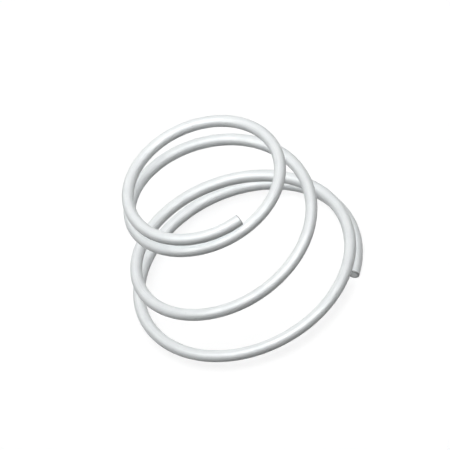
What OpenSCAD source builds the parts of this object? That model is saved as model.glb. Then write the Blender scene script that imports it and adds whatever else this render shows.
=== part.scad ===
// Conical compression spring, wound in round wire, with closed ends that are left unground.
// Z is the cone's axis, the large end stands on z = 0, and its cut tip lies on the +X side.

/* [Wire] */
// Diameter of the round wire
wire_d = 1.84; // [0.8:0.01:2.4]
// Width of the bevel round each cut tip of the wire
end_bevel = 0.12; // [0.04:0.01:0.3]

/* [Cone] */
// Height of the unloaded spring, over the wire at both ends
free_length = 25.4; // [16:0.1:50]
// Outside diameter over the wire at the small end's tip
small_end_od = 25.4; // [16:0.1:34]
// Outside diameter over the wire at the large end's tip
large_end_od = 36.7; // [26:0.1:60]

/* [Coils] */
// Turns of wire from one tip to the other
total_turns = 3.88; // [3.1:0.01:6]
// Closed turns at each end, which lie against the turn beside them
closed_turns = 0.91; // [0.5:0.01:1.2]
// Turns over which the pitch opens up beside each closed end
easing_turns = 0.6; // [0.2:0.01:0.7]
// Gap between the closed turns and their neighbours, measured along the cone's slope
closed_gap = 0.07; // [0:0.01:0.3]
// Hand of the winding
winding = 1; // [1:Right hand, -1:Left hand]

/* [Facets] */
// Flat sides round the wire
wire_sides = 20; // [12:2:20]
// Sections of wire in each turn
sections_per_turn = 48; // [24:2:48]

/* [Hidden] */
wire_r = wire_d / 2;
// Radii of the wire's centre line at the two tips
small_r = small_end_od / 2 - wire_r;
large_r = large_end_od / 2 - wire_r;
// Rise of the centre line from the large end's tip to the small end's
rise = free_length - wire_d;
// Loss of radius for each millimetre of rise
taper = (large_r - small_r) / rise;
// Rise in each closed turn, and in each fully open one, which takes up the rest of the length
closed_pitch = (wire_d + closed_gap) * cos(atan(taper));
open_turns = total_turns - 2 * closed_turns - easing_turns;
open_pitch = closed_pitch + (rise - closed_pitch * total_turns) / open_turns;
// Step either side of a point on the wire that its direction is measured over, in turns
heading_step = 0.001;

function unit(v) = v / norm(v);

// Area under a smooth step that climbs from 0 to 1 between x = 0 and x = 1 and stays there
function under_step(x) = x <= 0 ? 0 : x < 1 ? x ^ 3 - x ^ 4 / 2 : x - 0.5;

// How much of the open turns the wire has run through at turn t, counted from the large end's tip
function opened(t) = easing_turns * (
    under_step((t - closed_turns) / easing_turns)
    - under_step((t - total_turns + closed_turns + easing_turns) / easing_turns));

// Height and radius of the wire's centre line, and the point itself
function height(t) = wire_r + closed_pitch * t + (open_pitch - closed_pitch) * opened(t);
function radius(t) = large_r - taper * (height(t) - wire_r);
function centre(t) = let (angle = winding * 360 * t)
    [radius(t) * cos(angle), radius(t) * sin(angle), height(t)];

// Direction in which the wire runs
function heading(t) = unit(centre(t + heading_step) - centre(t - heading_step));

// Corners of the wire's round section, square to the wire
function section(t, r) = let (
        ahead = heading(t),
        level = unit(cross(ahead, [0, 0, 1])),
        upward = cross(level, ahead))
    [for (i = [0 : wire_sides - 1]) let (angle = 360 * i / wire_sides)
        centre(t) + r * (cos(angle) * level + sin(angle) * upward)];

// The whole spring is one length of wire, swept along the cone
module spring() {
    steps = ceil(total_turns * sections_per_turn);
    first_turn = end_bevel / (2 * PI * large_r);
    last_turn = total_turns - end_bevel / (2 * PI * small_r);
    sections = [
        section(0, wire_r - end_bevel),
        for (i = [0 : steps]) section(first_turn + (last_turn - first_turn) * i / steps, wire_r),
        section(total_turns, wire_r - end_bevel)];
    last = len(sections) - 1;
    function corner(i, j) = i * wire_sides + j % wire_sides;

    color([0.8, 0.83, 0.83])
        polyhedron(
            points = [for (s = sections) each s],
            faces = [
                [for (j = [wire_sides - 1 : -1 : 0]) corner(0, j)],
                for (i = [0 : last - 1], j = [0 : wire_sides - 1]) each [
                    [corner(i, j), corner(i, j + 1), corner(i + 1, j + 1)],
                    [corner(i, j), corner(i + 1, j + 1), corner(i + 1, j)]],
                [for (j = [0 : wire_sides - 1]) corner(last, j)]],
            convexity = 8);
}

spring();
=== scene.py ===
# Conical compression spring in zinc-plated wire, on a plain white floor under four softboxes.
import math

import bpy
import numpy as np
from mathutils import Matrix, Vector


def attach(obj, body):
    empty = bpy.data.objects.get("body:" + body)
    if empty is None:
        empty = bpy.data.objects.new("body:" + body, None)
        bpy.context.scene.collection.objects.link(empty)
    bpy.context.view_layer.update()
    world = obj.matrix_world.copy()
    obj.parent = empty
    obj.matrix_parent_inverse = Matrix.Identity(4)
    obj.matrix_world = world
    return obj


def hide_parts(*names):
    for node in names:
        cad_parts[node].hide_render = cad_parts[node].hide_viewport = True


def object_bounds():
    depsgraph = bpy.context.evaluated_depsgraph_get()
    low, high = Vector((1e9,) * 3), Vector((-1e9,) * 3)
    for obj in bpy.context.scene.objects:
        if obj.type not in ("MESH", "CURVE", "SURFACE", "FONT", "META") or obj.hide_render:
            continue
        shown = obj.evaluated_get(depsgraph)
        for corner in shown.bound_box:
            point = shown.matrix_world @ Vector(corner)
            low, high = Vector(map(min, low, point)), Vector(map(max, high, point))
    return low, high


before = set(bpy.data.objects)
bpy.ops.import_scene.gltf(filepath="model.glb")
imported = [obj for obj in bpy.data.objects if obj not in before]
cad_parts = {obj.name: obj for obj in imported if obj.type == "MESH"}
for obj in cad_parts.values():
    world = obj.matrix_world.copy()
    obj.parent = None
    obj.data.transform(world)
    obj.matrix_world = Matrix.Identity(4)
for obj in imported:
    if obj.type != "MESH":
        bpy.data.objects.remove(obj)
cad_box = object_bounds()
mm = 0.001

# Camera
# The photo is a parallel view down onto the small end, rolled to one side, so the camera has no
# perspective. It is aimed by the point on the cone's axis that lies level with the small end's tip.
picture_width = 450
pixel = 0.15254 * mm
camera_azimuth = math.radians(34.56)
camera_elevation = math.radians(46.04)
camera_roll = math.radians(26.18)
camera_distance = 200 * mm
aim_height = 24.48 * mm
aim_right_of_middle = -23.93 * pixel
aim_above_middle = 46.99 * pixel


def towards(azimuth, elevation):
    """Direction from the spring at an azimuth, where 0 is the -Y side, and an elevation."""
    level = math.cos(elevation)
    return Vector((math.sin(azimuth) * level, -math.cos(azimuth) * level, math.sin(elevation)))


camera_back = towards(camera_azimuth, camera_elevation)
level_right = Vector((math.cos(camera_azimuth), math.sin(camera_azimuth), 0))
level_up = camera_back.cross(level_right)
camera_right = math.cos(camera_roll) * level_right - math.sin(camera_roll) * level_up
camera_up = math.sin(camera_roll) * level_right + math.cos(camera_roll) * level_up
camera_data = bpy.data.cameras.new("camera")
camera_data.type = "ORTHO"
camera_data.ortho_scale = picture_width * pixel
camera = bpy.data.objects.new("camera", camera_data)
camera_place = (
    Vector((0, 0, aim_height))
    - aim_right_of_middle * camera_right
    - aim_above_middle * camera_up
    + camera_distance * camera_back
)
camera.matrix_world = Matrix.Translation(camera_place) @ Matrix(
    (camera_right, camera_up, camera_back)
).transposed().to_4x4()
bpy.context.scene.collection.objects.link(camera)
bpy.context.scene.camera = camera

# Floor
# A sheet of plain board far wider than the view. Cameras and reflections see it white, with the
# spring's own soft shadow on it, and it throws little light back up on the wire. Past the shadow it
# turns to the same even white as the room, so that a low view has no grey horizon.
floor_half_width = 4000 * mm
floor_grey = 0.02
floor_grey_seen = 0.8
floor_lift = 0.23
lit_reach = 100 * mm
white_reach = 400 * mm


class Value:
    """One output of a shader node. Arithmetic on it adds Math nodes to the same material."""

    def __init__(self, socket):
        self.socket = socket

    def node(self, kind, settings=None, output=0, **sockets):
        """Adds a node. Its settings are set first, and then its sockets, by name or as _number."""
        tree = self.socket.id_data
        made = tree.nodes.new(kind)
        for name, setting in (settings or {}).items():
            setattr(made, name, setting)
        for name, given in sockets.items():
            key = int(name[1:]) if name[0] == "_" else name.replace("_", " ")
            if isinstance(given, Value):
                tree.links.new(given.socket, made.inputs[key])
            else:
                made.inputs[key].default_value = given
        return Value(made.outputs[output])

    def other_output(self, name):
        """Another output of the same node."""
        return Value(self.socket.node.outputs[name])

    def math(self, operation, *others):
        """A Math node on the given values."""
        sockets = {f"_{i}": given for i, given in enumerate(others)}
        return self.node("ShaderNodeMath", {"operation": operation}, **sockets)

    def __add__(self, other):
        return self.math("ADD", self, other)

    def __mul__(self, other):
        return self.math("MULTIPLY", self, other)

    __radd__, __rmul__ = __add__, __mul__

    def __sub__(self, other):
        return self.math("SUBTRACT", self, other)

    def __rsub__(self, other):
        return self.math("SUBTRACT", other, self)


def new_material(name):
    """A material with only an output, and that output's surface socket as a Value."""
    material = bpy.data.materials.new(name)
    material.use_nodes = True
    material.node_tree.nodes.clear()
    output = material.node_tree.nodes.new("ShaderNodeOutputMaterial")
    return material, Value(output.inputs["Surface"])


def connect(value, target):
    """Links a Value to the input socket that another Value holds."""
    target.socket.id_data.links.new(value.socket, target.socket)


def seen_rays(target):
    """1 for a ray from the camera, a reflection or glass, and 0 for one that only gathers light."""
    camera_ray = target.node("ShaderNodeLightPath", output="Is Camera Ray")
    glossy_ray = camera_ray.other_output("Is Glossy Ray")
    clear_ray = camera_ray.other_output("Is Transmission Ray")
    mirrored = target.math("MAXIMUM", glossy_ray, clear_ray)
    return target.math("MAXIMUM", camera_ray, mirrored)


def step_up(value, start, full):
    """A smooth step from 0 at the start to 1 where it is full, which may lie above or below."""
    return value.node(
        "ShaderNodeMapRange", {"interpolation_type": "SMOOTHSTEP"},
        Value=value, From_Min=start, From_Max=full,
    )


def floor_board():
    """White to seen rays and dark to gathered light. Lamps show on it only near the spring."""
    material, surface = new_material("floor_board")
    seen = seen_rays(surface)
    place = surface.node("ShaderNodeNewGeometry", output="Position")
    distance = place.node(
        "ShaderNodeVectorMath", {"operation": "LENGTH"}, output="Value", _0=place
    )
    far = step_up(distance, lit_reach, white_reach)
    grey = seen * ((1 - far) * floor_grey_seen - floor_grey) + floor_grey
    glow = seen * (far * (1 - floor_lift) + floor_lift)
    board = surface.node("ShaderNodeBsdfDiffuse", Color=grey)
    white = surface.node("ShaderNodeEmission", Color=(1, 1, 1, 1), Strength=glow)
    connect(surface.node("ShaderNodeAddShader", _0=board, _1=white), surface)
    return material


floor_mesh = bpy.data.meshes.new("floor")
floor_corners = [
    (x * floor_half_width, y * floor_half_width, 0) for x, y in ((-1, -1), (1, -1), (1, 1), (-1, 1))
]
floor_mesh.from_pydata(floor_corners, [], [(0, 1, 2, 3)])
floor_mesh.materials.append(floor_board())
floor = bpy.data.objects.new("floor", floor_mesh)
bpy.context.scene.collection.objects.link(floor)

# Light
# Four softboxes, in a white surround that lights nothing but shows in gloss. A wide one overhead and a
# low one behind are fill without shadow, and a square one right above casts the shadow. A long strip in
# front draws the highlight, and only gloss sees it.
softbox_distance = 1200 * mm
overhead_elevation = math.radians(84)
overhead_roll = math.radians(-8)
overhead_width = 2400 * mm
overhead_depth = 1000 * mm
overhead_power = 16.5
strip_elevation = math.radians(62)
strip_roll = math.radians(-12)
strip_width = 3000 * mm
strip_depth = 1000 * mm
strip_power = 29
behind_elevation = math.radians(35)
behind_width = 2000 * mm
behind_depth = 500 * mm
behind_power = 2.8
above_side = 1200 * mm
above_power = 4.5

spring_middle = (cad_box[0] + cad_box[1]) / 2


def softbox(name, azimuth, elevation, roll, width, depth, power):
    """A flat lamp that faces the spring's middle, turned by its roll about the line to it."""
    lamp = bpy.data.lights.new(name, "AREA")
    lamp.shape = "RECTANGLE"
    lamp.size = width
    lamp.size_y = depth
    lamp.energy = power
    back = towards(azimuth, elevation)
    level = Vector((math.cos(azimuth), math.sin(azimuth), 0))
    right = math.cos(roll) * level + math.sin(roll) * back.cross(level)
    stand = bpy.data.objects.new(name, lamp)
    stand.matrix_world = Matrix.Translation(spring_middle + softbox_distance * back) @ Matrix(
        (right, back.cross(right), back)
    ).transposed().to_4x4()
    bpy.context.scene.collection.objects.link(stand)
    return stand


overhead = softbox(
    "overhead_softbox", camera_azimuth, overhead_elevation, overhead_roll,
    overhead_width, overhead_depth, overhead_power,
)
strip = softbox(
    "strip_softbox", camera_azimuth, strip_elevation, strip_roll,
    strip_width, strip_depth, strip_power,
)
behind = softbox(
    "behind_softbox", camera_azimuth + math.pi, behind_elevation, 0,
    behind_width, behind_depth, behind_power,
)
above = softbox(
    "above_softbox", camera_azimuth, math.pi / 2, 0, above_side, above_side, above_power
)
strip.visible_diffuse = False
# With importance sampling left on, the spring would still block part of these lamps' light
for shadowless in (overhead, strip, behind):
    shadowless.data.use_shadow = False
    shadowless.data.cycles.use_multiple_importance_sampling = False

world = bpy.data.worlds.new("room")
world.use_nodes = True
bpy.context.scene.world = world
backdrop = Value(world.node_tree.nodes["Background"].inputs["Strength"])
connect(seen_rays(backdrop), backdrop)
world.node_tree.nodes["Background"].inputs["Color"].default_value = (1, 1, 1, 1)
bpy.context.scene.view_settings.view_transform = "Standard"

# Spring wire
# One length of round spring steel, coiled cold on a cone and then zinc plated in a barrel. The end
# turns are closed against their neighbours and left unground, and both tips are sheared off square.
wire_diameter = 1.84 * mm
free_length = 25.4 * mm
small_end_diameter = 25.4 * mm
large_end_diameter = 36.7 * mm
total_turns = 3.88
closed_turns = 0.91
easing_turns = 0.6
closed_gap = 0.07 * mm
cut_edge = 0.12 * mm
cut_dish = 0.015 * mm
burr_height = 0.03 * mm
burr_steepness = 12
# Steps of the mesh, and the layout of its map for baking
wire_sides = 56
rings_per_turn = 360
edge_rings = 4
cut_rings = 8
length_samples = 8000
gap_limit = 1 * mm
map_rows = 8
map_margin = 0.4 * mm
cut_zoom = 2

wire_radius = wire_diameter / 2
small_radius = small_end_diameter / 2 - wire_radius
large_radius = large_end_diameter / 2 - wire_radius
rise = free_length - wire_diameter
taper = (large_radius - small_radius) / rise
closed_pitch = (wire_diameter + closed_gap) * math.cos(math.atan(taper))
open_turns = total_turns - 2 * closed_turns - easing_turns
open_pitch = closed_pitch + (rise - closed_pitch * total_turns) / open_turns


def under_step(x):
    """Area under a smooth step that climbs from 0 to 1 between x = 0 and x = 1 and stays there."""
    return np.where(x <= 0, 0, np.where(x < 1, x**3 - x**4 / 2, x - 0.5))


def centre(turn):
    """Points on the wire's centre line, for turns counted from the large end's tip."""
    opened = easing_turns * (
        under_step((turn - closed_turns) / easing_turns)
        - under_step((turn - total_turns + closed_turns + easing_turns) / easing_turns)
    )
    height = wire_radius + closed_pitch * turn + (open_pitch - closed_pitch) * opened
    radius = large_radius - taper * (height - wire_radius)
    angle = 2 * math.pi * turn
    return np.stack([radius * np.cos(angle), radius * np.sin(angle), height], axis=-1)


def unit(vectors):
    """The same directions, with a length of 1."""
    return vectors / np.linalg.norm(vectors, axis=-1, keepdims=True)


def heading(turn):
    """Direction in which the wire runs."""
    step = 0.001
    return unit(centre(turn + step) - centre(turn - step))


# Rings of the wire's skin. At each tip they go from near the cut's middle out over its dished face
# and round its edge, where the shear left a low burr on the side that faces the coil's axis.
face_radius = wire_radius - cut_edge
face_radii = face_radius * np.arange(1, cut_rings) / cut_rings
edge_angles = np.linspace(0, math.pi / 2, edge_rings + 1)[:-1]
tip_radii = np.concatenate([face_radii, face_radius + cut_edge * np.sin(edge_angles)])
tip_depths = np.concatenate([
    cut_dish * (1 - (face_radii / face_radius) ** 2),
    cut_edge * (1 - np.cos(edge_angles)),
])
tip_burrs = burr_height * np.concatenate([
    (face_radii / face_radius) ** burr_steepness,
    np.cos(edge_angles),
])
side_turns = np.linspace(
    cut_edge / (2 * math.pi * large_radius),
    total_turns - cut_edge / (2 * math.pi * small_radius),
    round(total_turns * rings_per_turn),
)
ring_turns = np.concatenate([
    tip_depths / (2 * math.pi * large_radius),
    side_turns,
    total_turns - tip_depths[::-1] / (2 * math.pi * small_radius),
])
ring_radii = np.concatenate([tip_radii, np.full(len(side_turns), wire_radius), tip_radii[::-1]])
ring_burrs = np.concatenate([-tip_burrs, np.zeros(len(side_turns)), tip_burrs[::-1]])
ring_count = len(ring_turns)
# Length of wire from the large end's tip to each ring
fine_turns = np.linspace(0, total_turns, length_samples)
fine_steps = np.linalg.norm(np.diff(centre(fine_turns), axis=0), axis=1)
fine_lengths = np.concatenate([[0], np.cumsum(fine_steps)])
ring_lengths = np.interp(ring_turns, fine_turns, fine_lengths)
wire_length = fine_lengths[-1]
# Angles round the wire, where 0 faces away from the coil's axis and the seam of the map faces it
side_angles = np.linspace(-math.pi, math.pi, wire_sides, endpoint=False)


def wire_points():
    """The skin's points, ring by ring, and then the middle of each cut face."""
    ahead = heading(ring_turns)[:, None, :]
    level = unit(np.cross(ahead, (0, 0, 1)))
    upward = np.cross(level, ahead)
    angle = side_angles[None, :, None]
    out = np.cos(angle) * level + np.sin(angle) * upward
    burrs = ring_burrs[:, None, None] * np.maximum(0, -np.cos(angle)) ** 2
    skin = centre(ring_turns)[:, None, :] + ring_radii[:, None, None] * out + burrs * ahead
    middles = centre(np.array([
        cut_dish / (2 * math.pi * large_radius),
        total_turns - cut_dish / (2 * math.pi * small_radius),
    ]))
    return skin, middles


def wire_faces():
    """Quads between the rings, and a fan of triangles round the middle of each cut face."""
    ring = np.arange(ring_count - 1)[:, None] * wire_sides
    side = np.arange(wire_sides)[None, :]
    after = (side + 1) % wire_sides
    quads = np.stack(
        [ring + side, ring + wire_sides + side, ring + wire_sides + after, ring + after], axis=-1
    )
    side, after = side[0], after[0]
    first_middle = ring_count * wire_sides
    last_ring = first_middle - wire_sides
    first_fan = np.stack([np.full(wire_sides, first_middle), side, after], axis=-1)
    last_fan = np.stack(
        [np.full(wire_sides, first_middle + 1), last_ring + after, last_ring + side], axis=-1
    )
    return quads.reshape(-1, 4).tolist() + first_fan.tolist() + last_fan.tolist()


def gap_to_turn(skin):
    """Distance from each point of the skin to the turn beside it, up to a limit."""
    gap = np.full(skin.shape[:2], gap_limit)
    for step in (-1, 1):
        turn = ring_turns + step
        beside = (turn >= 0) & (turn <= total_turns)
        offset = skin - centre(turn)[:, None, :]
        ahead = heading(turn)[:, None, :]
        across = offset - (offset * ahead).sum(-1, keepdims=True) * ahead
        clear = np.linalg.norm(across, axis=-1) - wire_radius
        gap = np.where(beside[:, None], np.minimum(gap, clear), gap)
    return gap


def unrolled_map():
    """A flat layout of the skin: the wire in rows beside each other, and the two cut faces enlarged."""
    girth = 2 * math.pi * wire_radius
    row_length = wire_length / map_rows
    map_side = map_rows * (girth + map_margin) + map_margin
    ring = np.arange(ring_count - 1)[:, None, None] + np.array([0, 1, 1, 0])
    side = np.arange(wire_sides)[None, :, None] + np.array([0, 0, 1, 1])
    ring, side = np.broadcast_arrays(ring, side)
    row = np.minimum(ring_lengths[ring[..., :1]] // row_length, map_rows - 1)
    along = map_margin + ring_lengths[ring] - row * row_length
    around = map_margin + row * (girth + map_margin) + side / wire_sides * girth
    # The cut faces lie in the strip that the rows leave free
    cut_column = (map_side + map_margin + row_length) / 2
    cut_spacing = 2 * cut_zoom * face_radius + map_margin
    first_cut = np.array([cut_column, cut_spacing])
    last_cut = np.array([cut_column, 2 * cut_spacing])

    def on_cut(middle, radius, side, turned):
        angle = turned * 2 * math.pi * side / wire_sides
        flat = np.stack([np.cos(angle), np.sin(angle)], axis=-1)
        return middle + cut_zoom * radius[..., None] * flat

    places = np.stack([along, around], axis=-1)
    first, last = slice(0, cut_rings - 1), slice(1 - cut_rings, None)
    places[first] = on_cut(first_cut, ring_radii[ring[first]], side[first], 1)
    places[last] = on_cut(last_cut, ring_radii[ring[last]], side[last], -1)
    # Corners of the fans round the two middles, in the order of the faces
    rim = np.arange(wire_sides)
    reach = ring_radii[0] * np.array([0, 1, 1])
    first_side = np.stack([rim, rim, rim + 1], axis=-1)
    last_side = np.stack([rim, rim + 1, rim], axis=-1)
    first_fan = on_cut(first_cut, np.broadcast_to(reach, first_side.shape), first_side, 1)
    last_fan = on_cut(last_cut, np.broadcast_to(reach, last_side.shape), last_side, -1)
    corners = [places.reshape(-1, 2), first_fan.reshape(-1, 2), last_fan.reshape(-1, 2)]
    return np.concatenate(corners) / map_side


def spring_wire():
    """The wire's closed mesh, with its map for baking and the places that its finish follows."""
    skin, middles = wire_points()
    mesh = bpy.data.meshes.new("spring_wire")
    mesh.from_pydata(np.concatenate([skin.reshape(-1, 3), middles]).tolist(), [], wire_faces())
    mesh.polygons.foreach_set("use_smooth", [True] * len(mesh.polygons))

    def add_attribute(name, kind, field, on_skin, at_middles):
        values = np.concatenate([on_skin.reshape(len(skin) * wire_sides, -1), at_middles])
        attribute = mesh.attributes.new(name, kind, "POINT")
        attribute.data.foreach_set(field, values.astype(np.float32).ravel())

    along = np.broadcast_to(ring_lengths[:, None], (ring_count, wire_sides))
    outward = ring_radii[:, None] * np.cos(side_angles)
    upward = ring_radii[:, None] * np.sin(side_angles)
    ends = np.array([[0.0], [wire_length]])
    add_attribute(
        "along_wire", "FLOAT_VECTOR", "vector",
        np.stack([along, outward, upward], axis=-1) / mm, np.pad(ends, ((0, 0), (0, 2))) / mm,
    )
    add_attribute(
        "gap_to_turn", "FLOAT", "value", gap_to_turn(skin) / mm, np.full((2, 1), gap_limit / mm)
    )
    tip_distance = np.minimum(along, wire_length - along)
    add_attribute("from_cut", "FLOAT", "value", tip_distance / mm, np.zeros((2, 1)))
    bake_map = mesh.uv_layers.new(name="OFBake")
    bake_map.uv.foreach_set("vector", unrolled_map().astype(np.float32).ravel())
    mesh.update()
    return mesh


# Finish. Colours are linear, and heights are in metres.
zinc_bright = (0.785, 0.813, 0.817, 1)
zinc_cloudy = (0.735, 0.762, 0.772, 1)
zinc_grooved = (0.6, 0.62, 0.625, 1)
# The next colour darkens the zinc between closed turns. It is thin plating there, and painted shade.
zinc_thin_and_shade = (0.55, 0.565, 0.57, 1)
cut_grey = (0.7, 0.712, 0.715, 1)
# The next colour is painted shade: a dark line round the edge of each cut face
rim_painted_shade = (0.3, 0.309, 0.312, 1)
zinc_metallic = 0.1
cut_metallic = 0.22
zinc_roughness = 0.36
line_height = 14e-6
grain_height = 1.5e-6
pit_depth = 6e-6
streak_height = 6e-6
# Ripples per millimetre along the wire and in the two directions across it
drawn_lines = (0.12, 7, 7)
die_marks = (0.04, 3, 3)
bloom_clouds = (0.45, 0.8, 0.8)
plating_grain = (9, 9, 9)
barrel_rubs = (1.1, 2.2, 2.2)
pit_spots = (4.5, 4.5, 4.5)
shear_streaks = (2, 1.2, 14)
# Levels of those ripples at which each mark starts and is full
groove_levels = (0.5, 0.3)
mark_levels = (0.48, 0.66)
bloom_levels = (0.38, 0.66)
rub_levels = (0.56, 0.76)
pit_levels = (0.76, 0.84)
# Millimetres at which each place starts and is full: a gap between turns, a distance outward or from
# the wire's centre line, and a distance from the cut
crevice_gaps = (0.25, 0.07)
track_outward = (0.85, 0.9)
torn_outward = (0.35, 0.05)
rim_shade_reach = (0.45, 0.8)
face_reach = (0.76, 0.68)
tip_depth = (0.16, 0.1)
torn_ragged = 0.5
# Share of its own colour that each one takes on
bloom_tint = 0.8
groove_tint = 0.3
mark_tint = 0.12
pit_tint = 0.4
crevice_tint = 0.4
cut_tint = 0.5
torn_tint = 0.4
rim_shade_tint = 0.85
# What each adds to the roughness, or takes from it
bloom_dull = 0.08
grain_dull = 0.08
groove_dull = 0.12
mark_dull = 0.06
crevice_dull = 0.1
cut_dull = 0.06
torn_dull = 0.12
rub_shine = 0.08
track_shine = 0.08


def noise(place, ripples, detail):
    """Clouds of values about 0.5, with so many ripples per millimetre in each direction."""
    stretched = place.node(
        "ShaderNodeVectorMath", {"operation": "MULTIPLY"}, _0=place, _1=ripples
    )
    return stretched.node("ShaderNodeTexNoise", Vector=stretched, Scale=1, Detail=detail)


def mixed(share, plain, other):
    """The plain colour, with a share of the other one, through a Mix node's colour sockets."""
    return share.node("ShaderNodeMix", {"data_type": "RGBA"}, output=2, _0=share, _6=plain, _7=other)


def zinc_plate():
    """Zinc over drawn wire with lines, marks, bloom, rubs and pits, dull crevices and cuts, and painted
    shade in crevices and on cut rims.
    """
    material, surface = new_material("zinc_plate")
    place = surface.node("ShaderNodeAttribute", {"attribute_name": "along_wire"}, output="Vector")
    gap = surface.node("ShaderNodeAttribute", {"attribute_name": "gap_to_turn"}, output="Fac")
    from_cut = surface.node("ShaderNodeAttribute", {"attribute_name": "from_cut"}, output="Fac")
    outward = place.node("ShaderNodeSeparateXYZ", output="Y", Vector=place)
    across = place.node(
        "ShaderNodeVectorMath", {"operation": "MULTIPLY"}, _0=place, _1=(0, 1, 1)
    )
    reach = across.node(
        "ShaderNodeVectorMath", {"operation": "LENGTH"}, output="Value", _0=across
    )

    lines = noise(place, drawn_lines, detail=2)
    grooves = step_up(lines, *groove_levels)
    marks = step_up(noise(place, die_marks, detail=1), *mark_levels)
    bloom = step_up(noise(place, bloom_clouds, detail=3), *bloom_levels)
    grain = noise(place, plating_grain, detail=1)
    rubbed = step_up(noise(place, barrel_rubs, detail=1), *rub_levels)
    pits = step_up(noise(place, pit_spots, detail=0), *pit_levels)
    streaks = noise(place, shear_streaks, detail=3)
    # Near the next turn the zinc is dull, and it is darker from thin plating and painted shade
    crevice = step_up(gap, *crevice_gaps)
    # The coiling pins burnish a track along the wire's outward side
    track = step_up(outward, *track_outward)
    tip = step_up(from_cut, *tip_depth)
    # A dark line of painted shade round the rounded edge of each cut face
    rim = tip * step_up(reach, *rim_shade_reach)
    cut = tip * step_up(reach, *face_reach)
    # The shear slides on the cut's outward side and tears on the side with the burr
    torn = step_up(outward + streaks * torn_ragged, *torn_outward) * cut

    colour = mixed(bloom * bloom_tint, zinc_bright, zinc_cloudy)
    grooved = grooves * groove_tint + marks * mark_tint + pits * pit_tint
    colour = mixed(grooved, colour, zinc_grooved)
    # Painted shade, with thin plating, darkens the crevices between closed turns
    colour = mixed(crevice * crevice_tint, colour, zinc_thin_and_shade)
    colour = mixed(cut * cut_tint + torn * torn_tint, colour, cut_grey)
    # Painted shade darkens the rim of each cut face
    colour = mixed(rim * rim_shade_tint, colour, rim_painted_shade)
    roughness = (
        zinc_roughness + bloom * bloom_dull + (grain - 0.5) * grain_dull + grooves * groove_dull
        + marks * mark_dull + crevice * crevice_dull + cut * cut_dull + torn * torn_dull
        - rubbed * rub_shine - track * track_shine
    )
    height = (
        lines * line_height * (1 - cut) + grain * grain_height - pits * pit_depth
        + streaks * cut * streak_height + grain * torn * streak_height
    )
    plate = surface.node(
        "ShaderNodeBsdfPrincipled",
        Base_Color=colour, Roughness=roughness,
        Metallic=cut * (cut_metallic - zinc_metallic) + zinc_metallic,
        Normal=surface.node("ShaderNodeBump", Distance=1, Height=height),
    )
    connect(plate, surface)
    return material


spring = bpy.data.objects.new("spring_wire", spring_wire())
bpy.context.scene.collection.objects.link(spring)
spring.data.materials.append(zinc_plate())
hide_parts("spring")
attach(spring, "root")
